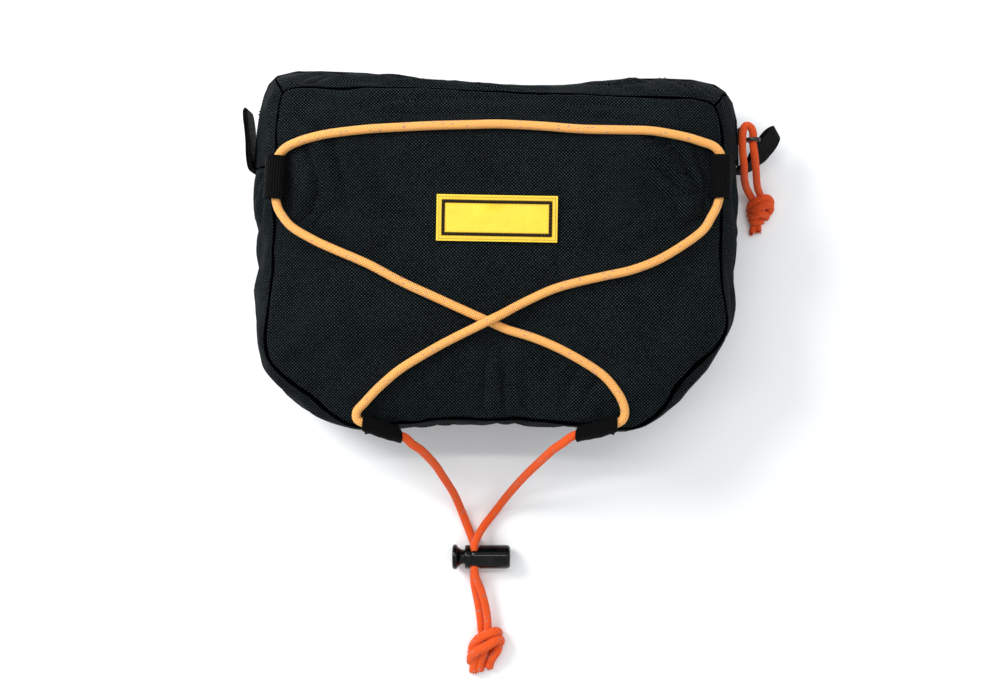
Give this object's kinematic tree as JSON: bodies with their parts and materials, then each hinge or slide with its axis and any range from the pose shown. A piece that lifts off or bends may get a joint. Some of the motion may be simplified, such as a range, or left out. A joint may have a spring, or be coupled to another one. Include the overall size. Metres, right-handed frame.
{
  "type": "handlebar bag",
  "caption": "Stuffed nylon handlebar pouch lying on its back, with a zip over the top and elastic cord laced over the front through webbing loops to a sprung cord lock.",
  "frame": {"origin": "middle of the back panel's outer face, on the surface that the bag lies on", "axes": "+X to the right in a front view, +Y towards the zip, +Z out of the front"},
  "size_m": [0.2895, 0.325, 0.0801],
  "materials": {
    "nylon": "plain woven nylon, near black",
    "webbing": "ribbed black webbing",
    "zip_tape": "black zip tape and coil",
    "zip_metal": "black painted zinc",
    "bungee": "orange braided elastic cord with reflective flecks",
    "pull_cord": "red-orange braided cord",
    "lock_plastic": "glossy black moulded plastic",
    "patch": "smooth yellow rubberised fabric, stitched all round"
  },
  "bodies": {
    "bag": {"front_panel": "nylon", "back_panel": "nylon", "gusset": "nylon", "zip_panel_back": "nylon", "zip_panel_front": "nylon", "zip": "zip_tape", "cord_loop_upper_left": "webbing", "cord_loop_upper_right": "webbing", "cord_loop_lower_left": "webbing", "cord_loop_lower_right": "webbing", "tab_left": "webbing", "tab_right": "webbing", "patch": "patch", "cord_lock_barrel": "lock_plastic", "zip_slider": "zip_metal", "zip_puller": "zip_metal", "bungee_lacing": "bungee", "bungee_tail_left": "bungee", "bungee_tail_right": "bungee", "bungee_knot": "bungee", "zip_pull_strand_arc": "pull_cord", "zip_pull_strand_short": "pull_cord", "zip_pull_knot": "pull_cord"},
    "plunger": {"cord_lock_plunger": "lock_plastic"}
  },
  "joints": [
    {"name": "plunger_press", "type": "slide", "parent": "bag", "child": "plunger", "axis": [1, 0, 0], "range_m": [0, 0.003], "stiffness_N_per_m": 1500, "springref_m": -0.002}
  ]
}
